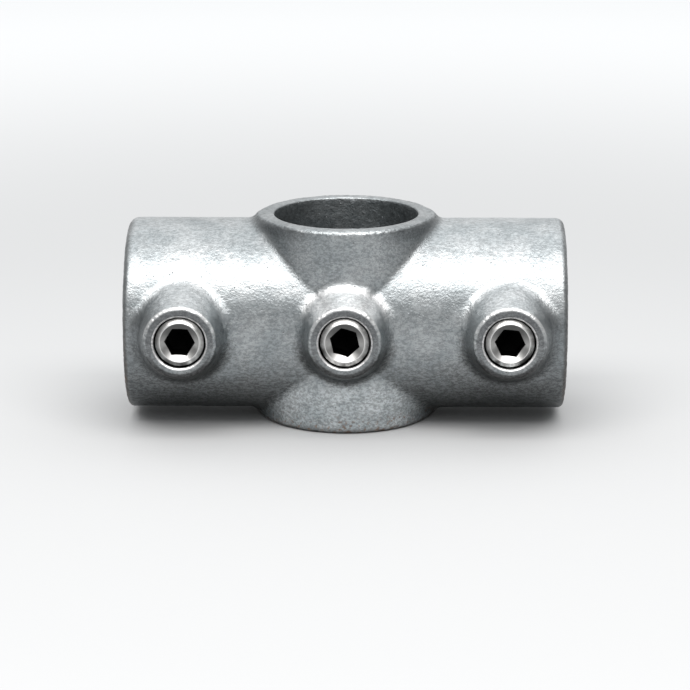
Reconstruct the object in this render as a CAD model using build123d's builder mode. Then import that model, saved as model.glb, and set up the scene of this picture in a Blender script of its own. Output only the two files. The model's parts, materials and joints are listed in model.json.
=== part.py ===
from build123d import *
from math import hypot, radians, tan
import os

# Two-socket cross: the through bore runs along Z, and the blind sockets along X.
# The origin is where the bore axes cross, and the set screws face -Y.

# Outside diameter that the bores take, and the room that they leave round it
TUBE_DIAMETER = 48.3
BORE_CLEARANCE = 0.6

# Horizontal barrel
BARREL_WALL = 8.15
SOCKET_DEPTH = 45.5
STOP_WALL = 5.0
PASSAGE_RADIUS = 12.0
END_ROUNDING = 2.0

# Vertical collars
COLLAR_WALL = 5.5
COLLAR_RISE = 2.5
COLLAR_DRAFT = 3.2
COLLAR_FILLET = 4.5
RIM_ROUNDING = 1.7
MOUTH_ROUNDING = 0.6

# Bosses for the set screws
BOSS_RISE = 10.5
BOSS_WALL = 3.77
BOSS_DRAFT = 18.0
BOSS_FILLET = 3.0
BOSS_ROUNDING = 1.3
BOSS_END_LAND = 0.2
SCREW_SETBACK = 20.0
MOUTH_CLEARANCE = 0.35
MOUTH_DEPTH = 2.2
HOLE_CHAMFER = 0.7

# Set screws, plain at the outside diameter of their 3/8 inch pipe thread
SCREW_DIAMETER = 16.66
THREAD_CLEARANCE = 0.05
HEAD_RECESS = 0.7
LEAD_WIDTH = 1.03
LEAD_DEPTH = 0.5
LIP_CHAMFER = 0.5
LIP_LAND = 0.18
DISH_ANGLE = 32.0
HEX_ACROSS_FLATS = 9.0
HEX_DEPTH = 8.5
DRILL_POINT_ANGLE = 30.0
TIP_CLEARANCE = 0.1
TIP_CHAMFER = 1.8
TIP_LAND = 1.33
CUP_ANGLE = 28.0

# Sizes that follow from those above
bore_radius = TUBE_DIAMETER / 2 + BORE_CLEARANCE
barrel_radius = bore_radius + BARREL_WALL
stop_x = bore_radius + STOP_WALL
half_length = stop_x + SOCKET_DEPTH
half_height = barrel_radius + COLLAR_RISE
rim_radius = bore_radius + COLLAR_WALL
screw_radius = SCREW_DIAMETER / 2
hole_radius = screw_radius + THREAD_CLEARANCE
boss_face_y = barrel_radius + BOSS_RISE
boss_face_radius = hole_radius + BOSS_WALL
boss_root_radius = boss_face_radius + BOSS_RISE * tan(radians(BOSS_DRAFT))
mouth_radius = screw_radius + MOUTH_CLEARANCE
side_screw_x = half_length - SCREW_SETBACK

# The flare at a boss's root ends on a flat land before the barrel's rounded end
flare_room = SCREW_SETBACK - END_ROUNDING - BOSS_END_LAND - boss_root_radius
boss_fillet = min(BOSS_FILLET, flare_room / tan(radians(45 - BOSS_DRAFT / 2)))

# How near a point lies to a surface that it counts as on
ON_SURFACE = 0.01

# Each set screw's name, its place along the barrel and how far its hex is turned
SCREWS = (("left", -side_screw_x, -2.0), ("middle", 0.0, -17.0), ("right", side_screw_x, -5.0))

os.makedirs("parts", exist_ok=True)


def collar_radius(height):
    """Outside radius of the drafted collar at a height from the middle of the fitting."""
    return rim_radius + (half_height - height) * tan(radians(COLLAR_DRAFT))


def boss_radius(out):
    """Outside radius of a drafted boss at a distance in front of the bore axes."""
    return boss_face_radius + (boss_face_y - out) * tan(radians(BOSS_DRAFT))


def is_boss_root(edge):
    """True for an edge that runs on the drafted side of a boss and stays clear of its face."""
    points = [edge @ share for share in (0.0, 0.3, 0.7, 1.0)]
    clear_of_face = all(bore_radius < -p.Y < boss_face_y - BOSS_ROUNDING for p in points)
    on_side = any(
        all(abs(hypot(p.X - x, p.Z) - boss_radius(-p.Y)) < ON_SURFACE for p in points)
        for _, x, _ in SCREWS
    )
    return clear_of_face and on_side


def is_bore_edge(edge):
    """True for a circle of the bores' size."""
    return edge.geom_type == GeomType.CIRCLE and abs(edge.radius - bore_radius) < ON_SURFACE


# Casting
with BuildPart() as cast_body:
    with BuildSketch(Plane.YZ.offset(-half_length)):
        Circle(barrel_radius)
    extrude(amount=2 * half_length)

    # Collars, made too tall so that their fillet can run out through the rim
    tall = half_height + 2 * COLLAR_FILLET
    with BuildSketch(Plane.XZ):
        Polygon(
            (0, -tall),
            (collar_radius(tall), -tall),
            (collar_radius(0), 0),
            (collar_radius(tall), tall),
            (0, tall),
            align=None,
        )
    revolve(axis=Axis.Z)
    collar_roots = cast_body.edges(Select.NEW).filter_by(GeomType.BSPLINE)
    fillet(collar_roots, COLLAR_FILLET)
    with BuildSketch(Plane.XY.offset(-half_height)):
        Rectangle(2 * half_length, 2 * barrel_radius)
    extrude(amount=2 * half_height, mode=Mode.INTERSECT)

    # Bosses, one for each screw
    with BuildSketch(Plane.XZ.offset(bore_radius)):
        with Locations(*[(x, 0) for _, x, _ in SCREWS]):
            Circle(boss_radius(bore_radius))
    extrude(amount=boss_face_y - bore_radius, taper=BOSS_DRAFT)
    fillet(cast_body.edges().filter_by(is_boss_root), boss_fillet)

    # Outside edges, as cast
    fillet(cast_body.edges().group_by(Axis.Y)[0], BOSS_ROUNDING)
    fillet(cast_body.edges().group_by(Axis.Z)[-1], RIM_ROUNDING)
    fillet(cast_body.edges().group_by(Axis.Z)[0], RIM_ROUNDING)
    fillet(cast_body.edges().group_by(Axis.X)[-1], END_ROUNDING)
    fillet(cast_body.edges().group_by(Axis.X)[0], END_ROUNDING)

    # Through bore, the two sockets up to their stops, and the passage between them
    with BuildSketch(Plane.XY.offset(-half_height)):
        Circle(bore_radius)
    extrude(amount=2 * half_height, mode=Mode.SUBTRACT)
    with BuildSketch(Plane.YZ.offset(stop_x)):
        Circle(bore_radius)
    extrude(amount=SOCKET_DEPTH, mode=Mode.SUBTRACT)
    with BuildSketch(Plane.YZ.offset(-half_length)):
        Circle(bore_radius)
    extrude(amount=SOCKET_DEPTH, mode=Mode.SUBTRACT)
    with BuildSketch(Plane.YZ.offset(-stop_x)):
        Circle(PASSAGE_RADIUS)
    extrude(amount=2 * stop_x, mode=Mode.SUBTRACT)
    for along in (Axis.X, Axis.Z):
        bore_edges = cast_body.edges().filter_by(is_bore_edge).group_by(along)
        fillet(bore_edges[0] + bore_edges[-1], MOUTH_ROUNDING)

    # Tapped holes, drawn at the thread's outside diameter, each with a plain mouth
    with BuildSketch(Plane.XZ.offset(boss_face_y)):
        with Locations(*[(x, 0) for _, x, _ in SCREWS]):
            Circle(hole_radius)
    extrude(amount=-boss_face_y, mode=Mode.SUBTRACT)
    with BuildSketch(Plane.XZ.offset(boss_face_y)):
        with Locations(*[(x, 0) for _, x, _ in SCREWS]):
            Circle(mouth_radius)
    extrude(amount=-MOUTH_DEPTH, mode=Mode.SUBTRACT)
    face_edges = cast_body.edges().group_by(Axis.Y)[0]
    chamfer(face_edges.group_by(SortBy.RADIUS)[0], HOLE_CHAMFER)

cast_body.part.label = "cast_body"
export_step(cast_body.part, "parts/cast_body.step")

# Set screws, alike but for their place and the turn of their hex
head_y = boss_face_y - HEAD_RECESS
tip_y = bore_radius + TIP_CLEARANCE
lip_radius = screw_radius - LEAD_WIDTH - LIP_CHAMFER
dish_radius = lip_radius - LIP_LAND
cup_radius = screw_radius - TIP_CHAMFER - TIP_LAND
hex_radius = HEX_ACROSS_FLATS / 2
hex_floor_y = head_y - HEX_DEPTH
for place, x, hex_turn in SCREWS:
    with BuildPart() as set_screw:
        # Half section: first number outwards along the screw, second across it
        with BuildSketch(Plane(origin=(x, 0, 0), x_dir=(0, -1, 0), z_dir=(1, 0, 0))):
            with BuildLine():
                Polyline(
                    (head_y - LIP_CHAMFER - LEAD_DEPTH, screw_radius),
                    (tip_y + TIP_CHAMFER, screw_radius),
                    (tip_y, screw_radius - TIP_CHAMFER),
                    (tip_y, cup_radius),
                    (tip_y + cup_radius * tan(radians(CUP_ANGLE)), 0),
                    (head_y - dish_radius * tan(radians(DISH_ANGLE)), 0),
                    (head_y, dish_radius),
                    (head_y, lip_radius),
                    (head_y - LIP_CHAMFER, lip_radius + LIP_CHAMFER),
                    close=True,
                )
            make_face()
        revolve(axis=Axis((x, 0, 0), (0, -1, 0)))
        with BuildSketch(Plane.XZ.offset(hex_floor_y)):
            with Locations((x, 0)):
                RegularPolygon(hex_radius, 6, major_radius=False, rotation=hex_turn)
        extrude(amount=HEX_DEPTH, mode=Mode.SUBTRACT)
        with BuildSketch(Plane(origin=(x, 0, 0), x_dir=(0, -1, 0), z_dir=(1, 0, 0))):
            Polygon(
                (hex_floor_y, 0),
                (hex_floor_y, hex_radius),
                (hex_floor_y - hex_radius * tan(radians(DRILL_POINT_ANGLE)), 0),
                align=None,
            )
        revolve(axis=Axis((x, 0, 0), (0, -1, 0)), mode=Mode.SUBTRACT)
    set_screw.part.label = f"set_screw_{place}"
    export_step(set_screw.part, f"parts/set_screw_{place}.step")
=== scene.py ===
import json
import math

import bmesh
import bpy
import numpy as np
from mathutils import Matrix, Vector


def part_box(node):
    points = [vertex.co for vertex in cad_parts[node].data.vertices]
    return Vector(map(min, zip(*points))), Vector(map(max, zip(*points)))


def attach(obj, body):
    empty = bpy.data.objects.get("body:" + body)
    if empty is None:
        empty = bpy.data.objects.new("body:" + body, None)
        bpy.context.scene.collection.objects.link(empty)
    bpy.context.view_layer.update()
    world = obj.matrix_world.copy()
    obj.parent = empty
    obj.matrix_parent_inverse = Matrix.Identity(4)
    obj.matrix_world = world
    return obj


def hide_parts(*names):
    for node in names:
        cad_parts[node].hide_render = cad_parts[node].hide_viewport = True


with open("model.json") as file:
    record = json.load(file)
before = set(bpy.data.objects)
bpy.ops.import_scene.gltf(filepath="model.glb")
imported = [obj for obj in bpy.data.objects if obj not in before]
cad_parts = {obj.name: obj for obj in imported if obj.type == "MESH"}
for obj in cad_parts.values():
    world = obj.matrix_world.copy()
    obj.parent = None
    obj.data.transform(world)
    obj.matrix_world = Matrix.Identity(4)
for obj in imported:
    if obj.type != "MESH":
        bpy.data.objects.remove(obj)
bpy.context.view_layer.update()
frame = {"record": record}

# Sizes in metres, read from the frame where it gives them
MM = 0.001
mounts = {mount["name"]: mount for mount in frame["record"]["mounts"]}
body_low, body_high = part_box("cast_body")
BORE_RADIUS = mounts["through_bore"]["dims"]["r_mm"] * MM
SOCKET_LENGTH = mounts["socket_right"]["dims"]["length_mm"] * MM
HALF_LENGTH = body_high.x
HALF_HEIGHT = body_high.z
BARREL_RADIUS = body_high.y
BOSS_FACE = -body_low.y
PLACES = ("left", "middle", "right")
screw_boxes = {place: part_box(f"set_screw_{place}") for place in PLACES}
SCREW_X = {place: (low.x + high.x) / 2 for place, (low, high) in screw_boxes.items()}
SCREW_RADIUS = (screw_boxes["middle"][1].x - screw_boxes["middle"][0].x) / 2
HEAD = -screw_boxes["middle"][0].y
TIP = -screw_boxes["middle"][1].y

# Casting details that the frame's boxes don't give
PASSAGE_RADIUS = 12.0 * MM
MOUTH_ROUNDING = 0.6 * MM
STOP_X = HALF_LENGTH - SOCKET_LENGTH - MOUTH_ROUNDING
COLLAR_WALL = 5.5 * MM
COLLAR_DRAFT = math.radians(3.2)
COLLAR_FILLET = 4.5 * MM
RIM_ROUNDING = 1.7 * MM
END_ROUNDING = 2.0 * MM
TOP_END_WEAR = 2.0 * MM
HOLE_RADIUS = SCREW_RADIUS + 0.05 * MM
BOSS_WALL = 3.77 * MM
BOSS_DRAFT = math.radians(18.0)
BOSS_FILLET = 5.5 * MM
BOSS_ROUNDING = 1.3 * MM
MOUTH_RADIUS = SCREW_RADIUS + 0.35 * MM
MOUTH_DEPTH = 2.2 * MM
HOLE_CHAMFER = 0.7 * MM
HOLE_EDGE = 0.2 * MM
BOSS_EDGE = HOLE_RADIUS + BOSS_WALL

# How fine the casting's mesh is
CAST_GRID = 0.5 * MM
CAST_TRIANGLES = 190_000

# How uneven the casting's skin is, in millimetres: broad waves, small lumps and chipped edges
CAST_SKIN = {
    "Wave Size": 9.0,
    "Wave Depth": 0.09,
    "Lump Size": 2.4,
    "Lump Depth": 0.05,
    "Chip Size": 1.1,
    "Chip Depth": 0.16,
}

# How much deeper the lumps are by the roots of the bosses
ROOT_LUMPS = 1.6

# Colours of the galvanised casting: bare zinc, painted highlights and painted shade, dirt, rust
ZINC_DARK, ZINC_LIGHT = (0.290, 0.315, 0.326), (0.385, 0.406, 0.415)
STREAK_GREY = (0.23, 0.26, 0.27)
SPANGLE_GREY = (0.48, 0.51, 0.52)
ROOT_HIGHLIGHT = (0.92, 0.92, 0.92)
EDGE_HIGHLIGHT = (0.74, 0.75, 0.75)
MOUTH_HIGHLIGHT = (0.80, 0.80, 0.80)
SIDE_SHADE = (0.14, 0.15, 0.155)
RING_SHADE = (0.15, 0.155, 0.16)
RIM_SHADE = (0.15, 0.15, 0.145)
UNDERSIDE_SHADE = (0.12, 0.125, 0.125)
BOSS_UNDER_SHADOW = (0.06, 0.065, 0.065)
BOSS_EDGE_SHADE = (0.06, 0.06, 0.06)
END_DIRT_AND_SHADE = (0.09, 0.085, 0.08)
FLECK_BLACK = (0.09, 0.09, 0.095)
HOLE_BLACK = (0.008, 0.008, 0.008)
RUST = (0.17, 0.085, 0.04)
RUST_SPOT = (0.26, 0.15, 0.09)

# Colours of the turned screws, with their painted highlights and painted shade
STEEL_DARK, STEEL_LIGHT = (0.48, 0.475, 0.465), (0.60, 0.595, 0.585)
DISH_GREY = (0.27, 0.27, 0.265)
DISH_DARK = (0.09, 0.09, 0.09)
DISH_HIGHLIGHT = (0.72, 0.72, 0.71)
LIP_HIGHLIGHT = (0.82, 0.82, 0.81)
LEAD_LIT = (0.75, 0.75, 0.74)
THREAD_BLACK = (0.02, 0.02, 0.02)
HEX_BLACK = (0.006, 0.006, 0.006)

# Set screws, in metres, with a 3/8 inch pipe thread of 19 turns to the inch
SCREW_SIZES = {
    "Head": HEAD,
    "Tip": TIP,
    "Radius": SCREW_RADIUS,
    "Lead Width": 1.03 * MM,
    "Lead Depth": 0.5 * MM,
    "Lip Chamfer": 0.5 * MM,
    "Lip Land": 0.18 * MM,
    "Tip Chamfer": 1.8 * MM,
    "Tip Land": 1.33 * MM,
    "Hex Width": 9.0 * MM,
    "Hex Depth": 8.5 * MM,
    "Pitch": 1.337 * MM,
    "Thread Depth": 0.856 * MM,
}
DISH_ANGLE, CUP_ANGLE, DRILL_ANGLE = 32.0, 28.0, 30.0
LIP_RADIUS = SCREW_RADIUS - SCREW_SIZES["Lead Width"] - SCREW_SIZES["Lip Chamfer"]
HEX_TURN = {"left": -2.0, "middle": -17.0, "right": -5.0}
THREAD_SIDES = 72
ROWS_PER_TURN = 6
THREAD_ROWS = 13 * ROWS_PER_TURN
SCREW_BANDS = 9
WELD = 0.002 * MM
SHARP_BEND = math.radians(28)


# Node graphs, for materials and geometry alike

class Value:
    """An output socket of a node graph. Arithmetic on it adds Math nodes."""

    def __init__(self, graph, socket):
        self.graph, self.socket = graph, socket

    def maths(self, operation, *operands):
        return self.graph.add("ShaderNodeMath", {"operation": operation}, operands)

    def __add__(self, other):
        return self.maths("ADD", self, other)

    def __sub__(self, other):
        return self.maths("SUBTRACT", self, other)

    def __mul__(self, other):
        return self.maths("MULTIPLY", self, other)

    def __truediv__(self, other):
        return self.maths("DIVIDE", self, other)

    def __radd__(self, other):
        return self.maths("ADD", other, self)

    def __rsub__(self, other):
        return self.maths("SUBTRACT", other, self)

    def __rtruediv__(self, other):
        return self.maths("DIVIDE", other, self)

    def size(self):
        return self.maths("ABSOLUTE", self)

    def squared(self):
        return self.maths("MULTIPLY", self, self)

    def root(self):
        return self.maths("SQRT", self)

    def least(self, other):
        return self.maths("MINIMUM", self, other)


class Graph:
    """A node tree that grows one node at a time."""

    def __init__(self, tree):
        self.tree = tree

    def add(self, kind, settings=None, inputs=(), output=0):
        """Adds a node, sets its settings and then its sockets, and gives one of its outputs."""
        node = self.tree.nodes.new(kind)
        for name, value in (settings or {}).items():
            setattr(node, name, value)
        pairs = inputs.items() if isinstance(inputs, dict) else enumerate(inputs)
        for name, value in pairs:
            if isinstance(value, Value):
                self.tree.links.new(value.socket, node.inputs[name])
            elif value is not None:
                node.inputs[name].default_value = value
        return Value(self, node.outputs[output]) if node.outputs else None


def mix_colour(graph, factor, first, second, blend="MIX"):
    """A colour between two colours, which may be links or plain RGB."""
    colours = [c if isinstance(c, Value) else (*c, 1.0) for c in (first, second)]
    return graph.add(
        "ShaderNodeMix",
        {"data_type": "RGBA", "blend_type": blend},
        {0: factor, 6: colours[0], 7: colours[1]},
        output=2,
    )


def ramp(graph, value, low, high):
    """0 below low and 1 above high, smooth between."""
    return graph.add(
        "ShaderNodeMapRange",
        {"interpolation_type": "SMOOTHSTEP"},
        {"Value": value, "From Min": low, "From Max": high},
    )


# Materials

def new_material(name):
    """A material, and its graph, which is empty."""
    material = bpy.data.materials.new(name)
    material.use_nodes = True
    material.node_tree.nodes.clear()
    return material, Graph(material.node_tree)


def finish_material(graph, shader_inputs, constants):
    """Adds the surface shader. Constants are set on its own sockets."""
    shader = graph.add("ShaderNodeBsdfPrincipled", None, {**constants, **shader_inputs})
    graph.add("ShaderNodeOutputMaterial", None, {"Surface": shader})


def scaled(graph, vector, factor):
    """A vector times a number."""
    return graph.add("ShaderNodeVectorMath", {"operation": "SCALE"}, {0: vector, "Scale": factor})


def parts_of(graph, vector):
    """The three components of a vector."""
    first = graph.add("ShaderNodeSeparateXYZ", None, (vector,))
    return [Value(graph, socket) for socket in first.socket.node.outputs]


def in_millimetres(graph):
    """The point on the piece, in millimetres."""
    return scaled(graph, graph.add("ShaderNodeTexCoord", output="Object"), 1 / MM)


def noise(graph, place, size, detail=2.0, roughness=0.5):
    """Noise from 0 to 1 with features about size millimetres across."""
    return graph.add(
        "ShaderNodeTexNoise",
        {"noise_dimensions": "3D"},
        {"Vector": place, "Scale": 1 / size, "Detail": detail, "Roughness": roughness},
    )


def casting_zones(graph, place):
    """Places on the casting, as masks from 0 to 1, from a point in millimetres."""
    x, y, z = parts_of(graph, place)
    x, out, up, z = x.size(), 0.0 - y, z, z.size()
    side = (x - SCREW_X["right"] / MM).size()
    from_screw = (x.least(side).squared() + z.squared()).root()
    from_bore = (x.squared() + out.squared()).root()
    from_barrel = (out.squared() + up.squared()).root()
    face, end, rim, barrel = BOSS_FACE / MM, HALF_LENGTH / MM, HALF_HEIGHT / MM, BARREL_RADIUS / MM
    edge = BOSS_EDGE / MM
    boss_edge = ramp(graph, from_screw, edge - 1.1, edge - 0.5)
    boss_edge = boss_edge * (1.0 - ramp(graph, from_screw, edge, edge + 0.8))
    collar_edge = ramp(graph, z, rim - 2.2, rim - 1.0) * ramp(graph, from_bore, 27.0, 28.5)
    hole = MOUTH_RADIUS / MM
    return {
        "boss_edge": boss_edge * ramp(graph, out, face - 1.6, face - 0.7),
        "boss_ring": (1.0 - ramp(graph, from_screw, edge - 1.1, edge - 0.4))
        * ramp(graph, out, face - 1.2, face - 0.4),
        "hole": (1.0 - ramp(graph, from_screw, hole + 0.02, hole + 0.2)) * ramp(graph, out, 25.5, 26.5),
        "mouth_edge": (1.0 - ramp(graph, from_screw, hole + 0.55, hole + 0.8))
        * ramp(graph, out, face - 1.0, face - 0.6),
        "collar_edge": collar_edge,
        "rim_side": ramp(graph, up, rim - 6.0, rim - 3.0) * ramp(graph, from_bore, 27.5, 28.5),
        "end_edge": ramp(graph, x, end - 1.8, end - 0.7)
        * ramp(graph, from_barrel, barrel - 4.0, barrel - 1.5),
        "boss_under": ramp(graph, from_screw, edge - 1.8, edge - 1.1) * ramp(graph, 0.0 - up, 2.0, 9.0)
        * (1.0 - ramp(graph, from_screw, edge + 0.6, edge + 2.2)) * ramp(graph, out, face - 4.0, face - 2.0),
        "flare": (1.0 - ramp(graph, from_screw, edge + 4.0, edge + 7.5)) * ramp(graph, out, 25.5, 26.5),
        "end_shade": ramp(graph, x, end - 14.0, end - 3.0) * (1.0 - ramp(graph, up, 3.0, 14.0)),
        "collar_side": ramp(graph, up, 14.0, 22.0) * (1.0 - ramp(graph, from_bore, 32.4, 34.5))
        * ramp(graph, x, 7.0, 20.0),
        "low_collar": (1.0 - ramp(graph, up, -24.0, -14.0)) * (1.0 - ramp(graph, from_bore, 32.4, 34.5)),
    }


def galvanised_casting():
    """Hot-dip zinc on cast iron: cloudy and brushed, with painted shade beneath and painted highlights at
    its edges and boss roots.
    """
    material, graph = new_material("galvanised_casting")
    place = in_millimetres(graph)
    zones = casting_zones(graph, place)
    x, y, z = parts_of(graph, place)
    drawn = graph.add("ShaderNodeCombineXYZ", None, (x * 0.22, y, z))
    normal_x, _, facing_up = parts_of(graph, graph.add("ShaderNodeNewGeometry", output="Normal"))
    facing_down = 0.0 - facing_up
    rim_side = zones["rim_side"] * ramp(graph, normal_x.size(), 0.25, 0.65)
    outward = zones["flare"] * ramp(graph, normal_x * x, 15.0, 45.0)
    clouds = noise(graph, place, 12.0, 3.0, 0.6)
    mottle = noise(graph, place, 2.8, 3.0, 0.6)
    streaks = noise(graph, drawn, 1.5, 3.0, 0.6)
    grain = noise(graph, place, 0.8, 2.0, 0.65)
    brushed = graph.add("ShaderNodeCombineXYZ", None, (x * 0.6, y, z))
    speckle = noise(graph, brushed, 0.9, 3.0, 0.9)
    near_boss = zones["flare"] * ramp(graph, facing_up, 0.30, 0.75)
    middle_boss = 1.0 - ramp(graph, x.size(), 18.0, 24.0)
    under_boss = zones["flare"] * ramp(graph, facing_down, 0.25, 0.7)
    flecks = graph.add("ShaderNodeTexVoronoi", {"feature": "F1"}, {"Vector": place, "Scale": 0.9})
    fleck_gate = ramp(graph, noise(graph, place, 2.1, 2.0), 0.57, 0.72)
    fleck = (1.0 - ramp(graph, flecks, 0.10, 0.27)) * fleck_gate

    colour = mix_colour(graph, ramp(graph, clouds, 0.35, 0.65), ZINC_DARK, ZINC_LIGHT)
    colour = mix_colour(graph, ramp(graph, streaks, 0.50, 0.72) * 0.45, colour, STREAK_GREY)
    colour = mix_colour(graph, ramp(graph, mottle, 0.52, 0.75) * 0.35, colour, SPANGLE_GREY)
    # Painted light: the lower collar is made lighter
    colour = mix_colour(graph, zones["low_collar"] * 0.75, colour, (1.66, 1.66, 1.66), "MULTIPLY")
    colour = mix_colour(graph, zones["collar_side"] * 0.3, colour, SIDE_SHADE)
    lit_ends = ramp(graph, x.size(), 20.0, 36.0) * (ramp(graph, x, -10.0, 10.0) * 0.4 + 0.2)
    lit_ends = lit_ends * ramp(graph, facing_up, 0.55, 0.8)
    colour = mix_colour(graph, lit_ends, colour, (1.25, 1.25, 1.25), "MULTIPLY")
    # Painted highlight on the upward-facing roots of the bosses, strongest at the middle boss
    colour = mix_colour(graph, near_boss * (middle_boss * 0.50 + 0.14), colour, ROOT_HIGHLIGHT)
    # Painted shade: darker where the surface faces down, broken up by the clouds, and more round the bosses
    underside_shade = ramp(graph, facing_down + (clouds - 0.5) * 0.5 + zones["flare"] * 0.25, 0.15, 0.75)
    colour = mix_colour(graph, underside_shade * 0.78, colour, UNDERSIDE_SHADE)
    # Painted shadow under the bosses, on their downward-facing roots
    colour = mix_colour(graph, under_boss * 0.6, colour, BOSS_UNDER_SHADOW)
    colour = mix_colour(graph, (outward * 0.5 + rim_side * 0.65).least(0.8), colour, SIDE_SHADE)
    colour = mix_colour(graph, zones["end_shade"] * 0.45, colour, SIDE_SHADE)
    # Brown dirt and painted shade on the rounded ends of the barrel, darker towards the bottom
    end_dirt_and_shade = zones["end_edge"] * (ramp(graph, 0.0 - z, -20.0, 20.0) * 0.5 + 0.4)
    colour = mix_colour(graph, end_dirt_and_shade, colour, END_DIRT_AND_SHADE)
    ring_shade = ramp(graph, z + mottle * 14.0, -4.0, 14.0) * 0.5 + 0.35
    colour = mix_colour(graph, zones["boss_ring"] * ring_shade, colour, RING_SHADE)
    # Painted highlight all round the chamfer at the mouth of each tapped hole
    colour = mix_colour(graph, zones["mouth_edge"] * 0.75, colour, MOUTH_HIGHLIGHT)
    # Painted highlight on the upward-facing part of each boss's rounded edge
    lit_edge = zones["boss_edge"] * ramp(graph, facing_up, -0.1, 0.4)
    colour = mix_colour(graph, lit_edge * 0.8, colour, EDGE_HIGHLIGHT)
    # Painted shade on the lower part of each boss's rounded edge
    colour = mix_colour(graph, zones["boss_under"] * 0.85, colour, BOSS_EDGE_SHADE)
    pores = ramp(graph, speckle, 0.42, 0.58)
    lit_band = ramp(graph, facing_up, 0.2, 0.35) * (1.0 - ramp(graph, facing_up, 0.6, 0.75))
    pore_depth = (underside_shade * 0.35 + zones["low_collar"] * 0.2 + 0.42) * (1.0 - lit_band * 0.85)
    colour = mix_colour(graph, pores * pore_depth, colour, (0.5, 0.5, 0.5), "MULTIPLY")
    colour = mix_colour(graph, (1.0 - pores) * pore_depth * 0.7, colour, (1.5, 1.5, 1.5), "MULTIPLY")
    rust = ramp(graph, noise(graph, place, 3.5, 3.0, 0.7), 0.52, 0.68)
    low_rim = zones["low_collar"] * ramp(graph, 0.0 - z, HALF_HEIGHT / MM - 2.6, HALF_HEIGHT / MM - 0.8)
    colour = mix_colour(graph, low_rim * 0.45, colour, RIM_SHADE)
    rust_spots = ramp(graph, noise(graph, place, 1.3, 2.0, 0.6), 0.55, 0.68)
    rust_low = zones["low_collar"] * ramp(graph, 0.0 - z + clouds * 8.0, 31.0, 37.0)
    colour = mix_colour(graph, rust_spots * rust_low * 0.65, colour, RUST_SPOT)
    rust_zone = (zones["collar_edge"] + zones["end_edge"]) * ramp(graph, 0.0 - z, -10.0, 34.0)
    colour = mix_colour(graph, rust * rust_zone * 0.55, colour, RUST)
    colour = mix_colour(graph, fleck * 0.7, colour, FLECK_BLACK)
    # Painted shade: the wall of each tapped hole nearly black
    colour = mix_colour(graph, zones["hole"], colour, HOLE_BLACK)

    roughness = 0.33 + mottle * 0.14 + fleck * 0.25 + zones["boss_ring"] * 0.12
    height = grain * 0.15 + mottle * 0.15 - fleck * 0.16
    bump = graph.add("ShaderNodeBump", None, {"Strength": 1.0, "Distance": MM, "Height": height})
    finish_material(
        graph,
        {"Base Color": colour, "Roughness": roughness, "Normal": bump},
        {"Metallic": 1.0},
    )
    return material


def turned_steel():
    """Turned steel, with the dish, lip and lead of the screw heads told apart by radius, and painted
    highlights and painted shade on them.
    """
    material, graph = new_material("turned_steel")
    across = graph.add("ShaderNodeAttribute", {"attribute_name": "across"}, output="Fac") / MM
    hexed = graph.add("ShaderNodeAttribute", {"attribute_name": "hexed"}, output="Fac")
    place = in_millimetres(graph)
    rings = noise(graph, graph.add("ShaderNodeCombineXYZ", None, (across, 0.0, 0.0)), 0.14, 2.0)
    mottle = noise(graph, place, 1.2, 3.0)
    grain = noise(graph, place, 0.4, 2.0)
    colour = mix_colour(graph, ramp(graph, mottle, 0.35, 0.7), STEEL_DARK, STEEL_LIGHT)
    radius = SCREW_RADIUS / MM
    facing_up = parts_of(graph, graph.add("ShaderNodeNewGeometry", output="Normal"))[2]
    in_dish = 1.0 - ramp(graph, across, LIP_RADIUS / MM - 0.35, LIP_RADIUS / MM - 0.1)
    colour = mix_colour(graph, in_dish * 0.6, colour, DISH_GREY)
    # Painted shade on the downward-facing part of the dish, painted highlight on its upward-facing part
    dish_shade = in_dish * ramp(graph, 0.0 - facing_up, -0.1, 0.4)
    colour = mix_colour(graph, dish_shade * 0.85, colour, DISH_DARK)
    colour = mix_colour(graph, in_dish * ramp(graph, facing_up, 0.1, 0.7) * 0.8, colour, DISH_HIGHLIGHT)
    # Painted highlight on the lip ring
    on_lip = (1.0 - in_dish) * (1.0 - ramp(graph, across, LIP_RADIUS / MM + 0.3, LIP_RADIUS / MM + 0.5))
    colour = mix_colour(graph, on_lip * 0.8, colour, LIP_HIGHLIGHT)
    on_lead = ramp(graph, across, LIP_RADIUS / MM + 0.3, LIP_RADIUS / MM + 0.5)
    # Painted light on the downward-facing part of the lead
    lead_light = on_lead * ramp(graph, 0.0 - facing_up, 0.0, 0.4)
    colour = mix_colour(graph, lead_light * 0.5, colour, LEAD_LIT)
    # Painted shade: the outermost rim of the screw, at the gap in its hole, nearly black
    colour = mix_colour(graph, ramp(graph, across, radius - 0.25, radius - 0.06), colour, THREAD_BLACK)
    # Painted shade: the hex socket nearly black
    colour = mix_colour(graph, hexed, colour, HEX_BLACK)
    roughness = 0.20 + rings * 0.14 + mottle * 0.08 + hexed * 0.3
    height = rings * 0.008 + grain * 0.006
    bump = graph.add("ShaderNodeBump", None, {"Strength": 1.0, "Distance": MM, "Height": height})
    finish_material(
        graph,
        {"Base Color": colour, "Roughness": roughness, "Normal": bump},
        {"Metallic": 1.0},
    )
    return material


# Casting: the distance to its barrel, collars, bosses and bores, turned into a mesh

class Form:
    """A solid, given by the distance to its surface, negative inside, and that distance's slope."""

    def __init__(self, distance, slope):
        self.distance = distance
        self.slope = slope

    def outside(self):
        """Everything that the solid isn't."""
        return Form(-self.distance, -self.slope)


# Keeps a division clear of zero
TINY = 1e-12


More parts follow.
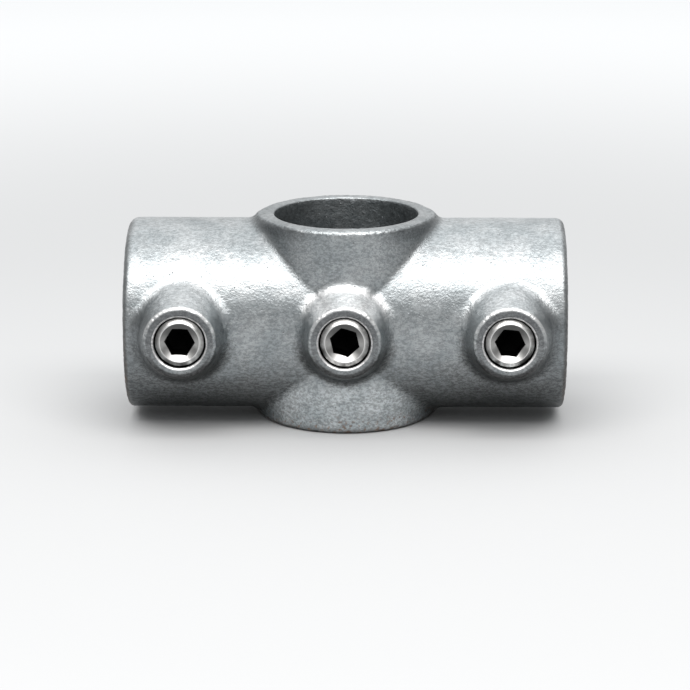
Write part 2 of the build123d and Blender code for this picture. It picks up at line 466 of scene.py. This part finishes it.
def joined(a, b, radius):
    """Union of two solids, with the fillet that a ball of this radius leaves between them."""
    cosine = (a.slope * b.slope).sum(0)
    sine_squared = np.maximum(1 - cosine ** 2, TINY)
    u, v = radius - a.distance, radius - b.distance
    toward_a, toward_b = u - v * cosine, v - u * cosine
    from_ball = np.sqrt(np.maximum(u * u + v * v - 2 * u * v * cosine, 0) / sine_squared) + TINY
    in_fillet = (toward_a > 0) & (toward_b > 0)
    a_nearer = a.distance < b.distance
    distance = np.where(in_fillet, radius - from_ball, np.where(a_nearer, a.distance, b.distance))
    fillet_slope = (toward_a * a.slope + toward_b * b.slope) / (sine_squared * from_ball)
    return Form(distance, np.where(in_fillet, fillet_slope, np.where(a_nearer, a.slope, b.slope)))


def common(a, b, radius):
    """What two solids share, with its new edge rounded to this radius."""
    return joined(a.outside(), b.outside(), radius).outside()


def slab(across, direction, half_thickness):
    """Everything within half a thickness of the plane through the origin."""
    slope = np.multiply.outer(np.array(direction), np.sign(across))
    return Form(np.abs(across) - half_thickness, slope)


def half_space(across, direction, limit):
    """Everything on the near side of a plane."""
    return Form(across - limit, np.multiply.outer(np.array(direction), np.ones_like(across)))


def cone(radial, along, radius, draft, offsets, rise):
    """A cone about an axis. Its offsets are the point's components across the axis, and rise
    is the axis direction in which it narrows."""
    lean = np.cos(draft)
    across = offsets / np.maximum(radial, TINY)
    return Form((radial - radius - along * np.tan(draft)) * lean, across * lean + rise * np.sin(draft))


def casting_form(x, y, z):
    """The whole casting at some points."""
    x, y, z = np.broadcast_arrays(x, y, z)
    none = np.zeros_like(x)
    rim_radius = BORE_RADIUS + COLLAR_WALL
    from_barrel, from_bore = np.hypot(y, z), np.hypot(x, y)
    around_barrel, around_bore = np.stack([none, y, z]), np.stack([x, y, none])
    barrel = cone(from_barrel, none, BARREL_RADIUS, 0.0, around_barrel, 0.0)
    upward = np.stack([none, none, np.sign(z)])
    collars = cone(from_bore, HALF_HEIGHT - np.abs(z), rim_radius, COLLAR_DRAFT, around_bore, upward)
    solid = joined(barrel, collars, COLLAR_FILLET)

    places = np.array(list(SCREW_X.values()))
    nearest = places[np.abs(x[..., None] - places).argmin(-1)]
    from_screw = np.hypot(x - nearest, z)
    around_screw = np.stack([x - nearest, none, z])
    forward = np.stack([none, none - 1, none])
    bosses = cone(from_screw, BOSS_FACE + y, BOSS_EDGE, BOSS_DRAFT, around_screw, forward)
    bosses = common(bosses, half_space(-y, (0, -1, 0), BOSS_FACE), BOSS_ROUNDING)
    bosses = common(bosses, half_space(y, (0, 1, 0), 0.0), 0.0)
    solid = joined(solid, bosses, BOSS_FILLET)
    solid = common(solid, slab(z, (0, 0, 1), HALF_HEIGHT), RIM_ROUNDING)
    worn = np.clip(z / BARREL_RADIUS, 0, 1) ** 2 * np.where(x < 0, 1.0, 0.5)
    solid = common(solid, slab(x, (1, 0, 0), HALF_LENGTH), END_ROUNDING + TOP_END_WEAR * worn)

    bore = cone(from_bore, none, BORE_RADIUS, 0.0, around_bore, 0.0)
    sockets = cone(from_barrel, none, BORE_RADIUS, 0.0, around_barrel, 0.0)
    sockets = common(sockets, slab(x, (1, 0, 0), STOP_X).outside(), 0.0)
    passage = cone(from_barrel, none, PASSAGE_RADIUS, 0.0, around_barrel, 0.0)
    passage = common(passage, slab(x, (1, 0, 0), STOP_X + MOUTH_ROUNDING), 0.0)
    hollow = joined(joined(bore, sockets, 0.0), passage, 0.0)
    solid = common(solid, hollow.outside(), MOUTH_ROUNDING)
    holes = cone(from_screw, none, HOLE_RADIUS, 0.0, around_screw, 0.0)
    holes = common(holes, half_space(y, (0, 1, 0), 0.0), 0.0)
    mouths = cone(from_screw, none, MOUTH_RADIUS, 0.0, around_screw, 0.0)
    mouths = common(mouths, half_space(y, (0, 1, 0), MOUTH_DEPTH - BOSS_FACE), 0.0)
    chamfer_radius = MOUTH_RADIUS + HOLE_CHAMFER
    chamfers = cone(from_screw, BOSS_FACE + y, chamfer_radius, -math.pi / 4, around_screw, forward)
    holes = joined(joined(holes, mouths, 0.0), chamfers, 0.0)
    return common(solid, holes.outside(), HOLE_EDGE)


def surface_net(form, low, high, step):
    """Vertices and quads of a form's surface, with one vertex to each cell that it crosses."""
    axes = [np.arange(l - 2 * step, h + 2.5 * step, step) for l, h in zip(low, high)]
    field = np.stack([form(x, axes[1][:, None], axes[2][None, :]).distance for x in axes[0]])
    inside = field < 0
    cells = [len(axis) - 1 for axis in axes]
    total, crossings = np.zeros(cells + [3]), np.zeros(cells)
    edges = []
    for axis in range(3):
        first, second = (axis + 1) % 3, (axis + 2) % 3
        near, far = [slice(None)] * 3, [slice(None)] * 3
        near[axis], far[axis] = slice(None, -1), slice(1, None)
        near, far = tuple(near), tuple(far)
        crossed = inside[near] != inside[far]
        where = np.argwhere(crossed)
        point = where.astype(float)
        point[:, axis] += field[near][crossed] / (field[near][crossed] - field[far][crossed])
        around = []
        for back_first, back_second in ((0, 0), (1, 0), (1, 1), (0, 1)):
            cell = where.copy()
            cell[:, first] -= back_first
            cell[:, second] -= back_second
            np.add.at(total, tuple(cell.T), point)
            np.add.at(crossings, tuple(cell.T), 1)
            around.append(cell)
        edges.append((around, inside[near][crossed]))
    used = crossings > 0
    number = np.cumsum(used).reshape(used.shape) - 1
    vertices = total[used] / crossings[used][:, None] * step + [axis[0] for axis in axes]
    quads = []
    for around, leaving in edges:
        quad = np.stack([number[tuple(cell.T)] for cell in around], 1)
        quads.append(np.where(leaving[:, None], quad, quad[:, ::-1]))
    return vertices, np.concatenate(quads)


def settle(points, form, rounds=4):
    """Moves points onto a form's surface."""
    for _ in range(rounds):
        here = form(*points.T)
        points = points - (here.slope * here.distance).T
    return points


def mesh_object(name, vertices, faces, material):
    """A smooth-shaded object from arrays of vertices and quads."""
    mesh = bpy.data.meshes.new(name)
    mesh.vertices.add(len(vertices))
    mesh.vertices.foreach_set("co", np.asarray(vertices, np.float32).ravel())
    mesh.loops.add(faces.size)
    mesh.loops.foreach_set("vertex_index", faces.ravel().astype(np.int32))
    mesh.polygons.add(len(faces))
    mesh.polygons.foreach_set("loop_start", np.arange(0, faces.size, faces.shape[1], dtype=np.int32))
    mesh.update(calc_edges=True)
    mesh.validate()
    mesh.polygons.foreach_set("use_smooth", np.ones(len(faces), bool))
    mesh.materials.append(material)
    obj = bpy.data.objects.new(name, mesh)
    bpy.context.scene.collection.objects.link(obj)
    return obj


def plain_mesh(obj):
    """Turns an object's evaluated shape into its mesh and removes its modifiers."""
    depsgraph = bpy.context.evaluated_depsgraph_get()
    baked = bpy.data.meshes.new_from_object(obj.evaluated_get(depsgraph), depsgraph=depsgraph)
    obj.modifiers.clear()
    obj.data = baked
    return obj


# Geometry trees, for what follows a rule

def new_geometry_tree(name, sizes):
    """A tree with a mesh at both ends and one named input for each size, and those inputs."""
    tree = bpy.data.node_groups.new(name, "GeometryNodeTree")
    tree.interface.new_socket("Mesh", in_out="INPUT", socket_type="NodeSocketGeometry")
    tree.interface.new_socket("Mesh", in_out="OUTPUT", socket_type="NodeSocketGeometry")
    for size in sizes:
        tree.interface.new_socket(size, in_out="INPUT", socket_type="NodeSocketFloat")
    graph = Graph(tree)
    start = tree.nodes.new("NodeGroupInput")
    return graph, {socket.name: Value(graph, socket) for socket in start.outputs if socket.name}


def finish_tree(graph, mesh, material):
    mesh = graph.add("GeometryNodeRealizeInstances", None, {"Geometry": mesh})
    mesh = graph.add("GeometryNodeSetMaterial", None, {"Geometry": mesh, "Material": material})
    graph.add("NodeGroupOutput", None, {"Mesh": mesh})


def put_tree(obj, tree, sizes):
    """Gives an object a geometry tree, with its sizes."""
    modifier = obj.modifiers.new(tree.name, "NODES")
    modifier.node_group = tree
    for socket in tree.interface.items_tree:
        if socket.in_out == "INPUT" and socket.name in sizes:
            modifier[socket.identifier] = sizes[socket.name]


def cast_skin_tree(material):
    """Presses a surface in along its normals, as the mould's sand does, and more at its edges."""
    graph, sizes = new_geometry_tree("cast_skin", CAST_SKIN)
    place = scaled(graph, graph.add("GeometryNodeInputPosition"), 1 / MM)
    zones = casting_zones(graph, place)
    wave = ramp(graph, noise(graph, place, sizes["Wave Size"], 1.0), 0.3, 0.7)
    lump = ramp(graph, noise(graph, place, sizes["Lump Size"], 2.0), 0.3, 0.7)
    chip = ramp(graph, noise(graph, place, sizes["Chip Size"], 2.0), 0.45, 0.7)
    edges = (zones["boss_edge"] + zones["collar_edge"] + zones["end_edge"]).least(1.0)
    lump = lump * (zones["flare"] * ROOT_LUMPS + 1.0)
    depth = wave * sizes["Wave Depth"] + lump * sizes["Lump Depth"] + chip * edges * sizes["Chip Depth"]
    offset = scaled(graph, graph.add("GeometryNodeInputNormal"), (0.0 - depth) * MM)
    mesh = graph.add("GeometryNodeSetPosition", None, {"Geometry": sizes["Mesh"], "Offset": offset})
    finish_tree(graph, mesh, material)
    return graph.tree


def make_casting(material):
    low = (-HALF_LENGTH, -BOSS_FACE, -HALF_HEIGHT)
    high = (HALF_LENGTH, BARREL_RADIUS, HALF_HEIGHT)
    vertices, quads = surface_net(casting_form, low, high, CAST_GRID)
    vertices = settle(vertices, casting_form)
    casting = mesh_object("casting_skin", vertices, quads, material)
    put_tree(casting, cast_skin_tree(material), CAST_SKIN)
    thin = casting.modifiers.new("thin", "DECIMATE")
    thin.ratio = min(1.0, CAST_TRIANGLES / (2 * len(quads)))
    thin.use_collapse_triangulate = True
    return plain_mesh(casting)


# Set screws, each a grid wrapped round its axis from the middle of its tip to that of its hex

def straight(graph, value, low, high):
    """0 below low and 1 above high, straight between."""
    return graph.add("ShaderNodeMapRange", None, {"Value": value, "From Min": low, "From Max": high})


def set_screw_tree(material):
    graph, sizes = new_geometry_tree("set_screw", [*SCREW_SIZES, "Place", "Hex Turn"])
    head, tip, radius = sizes["Head"], sizes["Tip"], sizes["Radius"]
    lip = radius - sizes["Lead Width"] - sizes["Lip Chamfer"]
    dish = lip - sizes["Lip Land"]
    cup = radius - sizes["Tip Chamfer"] - sizes["Tip Land"]
    pitch = sizes["Pitch"]

    rows = THREAD_ROWS + SCREW_BANDS + 1
    grid = graph.add(
        "GeometryNodeMeshGrid",
        None,
        {"Size X": THREAD_SIDES, "Size Y": rows - 1, "Vertices X": THREAD_SIDES + 1, "Vertices Y": rows},
    )
    across_grid, up_grid, _ = parts_of(graph, graph.add("GeometryNodeInputPosition"))
    turn = across_grid / THREAD_SIDES + 0.5
    row = up_grid + (rows - 1) / 2
    angle = turn * math.tau
    sixths = angle * (6 / math.tau)
    in_sixth = sixths.maths("FRACT", sixths)
    off_flat = (in_sixth - 0.5) * (math.tau / 6)
    hexagon = sizes["Hex Width"] / 2 / off_flat.maths("COSINE", off_flat)

    # Bands before and after the thread, each with where it ends: along the screw, then across it
    shank_start, shank_end = tip + sizes["Tip Chamfer"], head - sizes["Lip Chamfer"] - sizes["Lead Depth"]
    angles = (DISH_ANGLE, CUP_ANGLE, DRILL_ANGLE)
    dish_slope, cup_slope, drill_slope = (math.tan(math.radians(a)) for a in angles)
    before = [(tip, cup), (tip, radius - sizes["Tip Chamfer"]), (shank_start, radius)]
    after = [
        (head - sizes["Lip Chamfer"], radius - sizes["Lead Width"]),
        (head, lip),
        (head, dish),
        (head - (dish - hexagon) * dish_slope, hexagon),
        (head - sizes["Hex Depth"], hexagon),
        (head - sizes["Hex Depth"] - sizes["Hex Width"] / 2 * drill_slope, 0.0),
    ]
    thread_start = len(before)
    turns_up = (row - thread_start) / ROWS_PER_TURN + turn - 1.0
    shank = shank_end - shank_start
    up_shank = (turns_up * pitch / shank).least(1.0)
    up_shank = up_shank.maths("MAXIMUM", up_shank, 0.0)

    along, across = tip + cup * cup_slope, 0.0
    last_along, last_across = along, across
    for number, (next_along, next_across) in enumerate(before + [(shank_end, radius)] + after):
        if number == thread_start:
            share = up_shank
        else:
            first = number if number < thread_start else number + THREAD_ROWS - 1
            share = straight(graph, row, float(first), float(first + 1))
        along = along + share * (next_along - last_along)
        across = share * (next_across - last_across) + across
        last_along, last_across = next_along, next_across

    phase = row - (thread_start + ROWS_PER_TURN / 2 + 0.5)
    off_root = phase.maths("PINGPONG", phase, ROWS_PER_TURN / 2)
    groove = ((ROWS_PER_TURN - 1) / 2 - off_root) / 2
    from_end = (up_shank.least(1.0 - up_shank) * shank / pitch * 2.0).least(1.0)
    threaded = across - groove * from_end * sizes["Thread Depth"]

    grid = graph.add(
        "GeometryNodeStoreNamedAttribute",
        {"data_type": "FLOAT", "domain": "POINT"},
        {"Geometry": grid, "Name": "across", "Value": threaded},
    )
    in_hex = row.maths("GREATER_THAN", row, float(rows - 3))
    grid = graph.add(
        "GeometryNodeStoreNamedAttribute",
        {"data_type": "FLOAT", "domain": "FACE"},
        {"Geometry": grid, "Name": "hexed", "Value": in_hex},
    )
    angle = angle + sizes["Hex Turn"]
    x = sizes["Place"] + threaded * angle.maths("COSINE", angle)
    z = threaded * angle.maths("SINE", angle)
    wrapped = graph.add("ShaderNodeCombineXYZ", None, (x, 0.0 - along, z))
    mesh = graph.add("GeometryNodeSetPosition", None, {"Geometry": grid, "Position": wrapped})
    mesh = graph.add("GeometryNodeMergeByDistance", None, {"Geometry": mesh, "Distance": WELD})
    mesh = graph.add(
        "GeometryNodeSetShadeSmooth",
        {"domain": "FACE"},
        {"Geometry": mesh, "Shade Smooth": True},
    )
    bend = graph.add("GeometryNodeInputMeshEdgeAngle", output="Unsigned Angle")
    mesh = graph.add(
        "GeometryNodeSetShadeSmooth",
        {"domain": "EDGE"},
        {"Geometry": mesh, "Selection": bend.maths("GREATER_THAN", bend, SHARP_BEND), "Shade Smooth": False},
    )
    finish_tree(graph, mesh, material)
    return graph.tree


def make_set_screw(place, tree, material):
    screw = mesh_object(f"threaded_screw_{place}", np.zeros((0, 3)), np.zeros((0, 4), int), material)
    sizes = {**SCREW_SIZES, "Place": SCREW_X[place], "Hex Turn": math.radians(HEX_TURN[place])}
    put_tree(screw, tree, sizes)
    return plain_mesh(screw)


galvanised = galvanised_casting()
steel = turned_steel()
casting = make_casting(galvanised)
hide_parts("cast_body")
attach(casting, "casting")
screw_tree = set_screw_tree(steel)
for place in PLACES:
    screw = make_set_screw(place, screw_tree, steel)
    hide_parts(f"set_screw_{place}")
    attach(screw, f"screw_{place}")


# Floor, lights and camera

FLOOR_SIZE = 8.0
# The floor is darker near the object and paler far from it: painted shade round the object, and painted
# light far away that makes up for the softbox's light falling off
FLOOR_NEAR, FLOOR_FAR = (0.485, 0.495, 0.502), (0.765, 0.78, 0.79)
FLOOR_FADE = (230.0, 900.0)
WORLD_FRONT, WORLD_BACK, WORLD_GLOW, WORLD_SIDE_SHADE = 0.57, 0.62, 1.06, 0.45
SOFTBOX_COLOUR = (1.0, 0.97, 0.95)
SOFTBOX_ELEVATION = 61.0
SOFTBOX_DISTANCE = 1.0
SOFTBOX_SIZE = (1.5, 0.5)
SOFTBOX_RADIANCE = 5.2


def new_plane(name, size, centre, material):
    """A level square that isn't part of the object."""
    half = size / 2
    corners = np.array([(-half, -half, 0), (half, -half, 0), (half, half, 0), (-half, half, 0)]) + centre
    mesh_object(name, corners, np.array([[0, 1, 2, 3]]), material)


def floor_material():
    material, graph = new_material("pale_floor")
    x, y, _ = parts_of(graph, in_millimetres(graph))
    away = (x.squared() + y.squared()).root()
    # Painted shade near the object, painted light far from it
    colour = mix_colour(graph, ramp(graph, away, *FLOOR_FADE), FLOOR_NEAR, FLOOR_FAR)
    finish_material(graph, {"Base Color": colour}, {"Roughness": 0.9, "Specular IOR Level": 0.0})
    return material


new_plane("floor", FLOOR_SIZE, np.array((0, 0, -HALF_HEIGHT)), floor_material())


def studio_world():
    """A soft studio: pale behind, a wide glow overhead, dimmer at the two sides."""
    world = bpy.data.worlds.new("studio")
    bpy.context.scene.world = world
    world.use_nodes = True
    world.node_tree.nodes.clear()
    graph = Graph(world.node_tree)
    direction = graph.add("ShaderNodeTexCoord", output="Generated")
    parts = graph.add("ShaderNodeSeparateXYZ", None, (direction,))
    across, along, rise = (Value(graph, socket) for socket in parts.socket.node.outputs)
    back = ramp(graph, along, -0.2, 0.6)
    glow = ramp(graph, rise, 0.2, 0.95)
    sides = ramp(graph, across * across, 0.1, 0.7)
    strength = (WORLD_FRONT + back * WORLD_BACK + glow * WORLD_GLOW) * (1.0 - sides * WORLD_SIDE_SHADE)
    shade = graph.add("ShaderNodeBackground", None, {"Strength": strength})
    graph.add("ShaderNodeOutputWorld", None, {"Surface": shade})


def add_softbox(name, elevation, azimuth, distance, width, depth, radiance):
    """An area lamp that looks at the origin. Its radiance is that of the white panel it stands for."""
    data = bpy.data.lights.new(name, "AREA")
    data.color = SOFTBOX_COLOUR
    data.shape, data.size, data.size_y = "RECTANGLE", width, depth
    data.energy = radiance * math.pi * width * depth
    lamp = bpy.data.objects.new(name, data)
    e, a = math.radians(elevation), math.radians(azimuth)
    back = Vector((math.sin(a) * math.cos(e), -math.cos(a) * math.cos(e), math.sin(e)))
    lamp.location = back * distance
    lamp.rotation_mode = "QUATERNION"
    lamp.rotation_quaternion = (-back).to_track_quat("-Z", "Y")
    bpy.context.scene.collection.objects.link(lamp)


studio_world()
add_softbox("overhead_softbox", SOFTBOX_ELEVATION, 0.0, SOFTBOX_DISTANCE, *SOFTBOX_SIZE, SOFTBOX_RADIANCE)

# Camera, from the photograph's view of the fitting
CAMERA_DISTANCE = 1.0546
CAMERA_ELEVATION = math.radians(14.3)
CAMERA_AZIMUTH = math.radians(0.7)
PIXELS_PER_METRE = 2890 / 1.004
ORIGIN_PIXEL = (346.2, 311.9)
IMAGE_SIZE = 690
SENSOR = 36.0
camera_data = bpy.data.cameras.new("camera")
camera = bpy.data.objects.new("camera", camera_data)
bpy.context.scene.collection.objects.link(camera)
bpy.context.scene.camera = camera
camera_data.sensor_width = SENSOR
camera_data.lens = SENSOR * PIXELS_PER_METRE * CAMERA_DISTANCE / IMAGE_SIZE
camera_data.clip_start, camera_data.clip_end = 0.05, 20.0
right = Vector((math.cos(CAMERA_AZIMUTH), math.sin(CAMERA_AZIMUTH), 0))
forward = Vector((-math.sin(CAMERA_AZIMUTH), math.cos(CAMERA_AZIMUTH), 0))
back = Vector((0, 0, math.sin(CAMERA_ELEVATION))) - forward * math.cos(CAMERA_ELEVATION)
up = Vector((0, 0, math.cos(CAMERA_ELEVATION))) + forward * math.sin(CAMERA_ELEVATION)
middle = IMAGE_SIZE / 2
aside, below = ((middle - pixel) / PIXELS_PER_METRE for pixel in ORIGIN_PIXEL)
aim = right * aside - up * below
camera.location = back * CAMERA_DISTANCE
camera.rotation_mode = "QUATERNION"
camera.rotation_quaternion = (aim - camera.location).to_track_quat("-Z", "Y")

bpy.context.scene.view_settings.view_transform = "Standard"
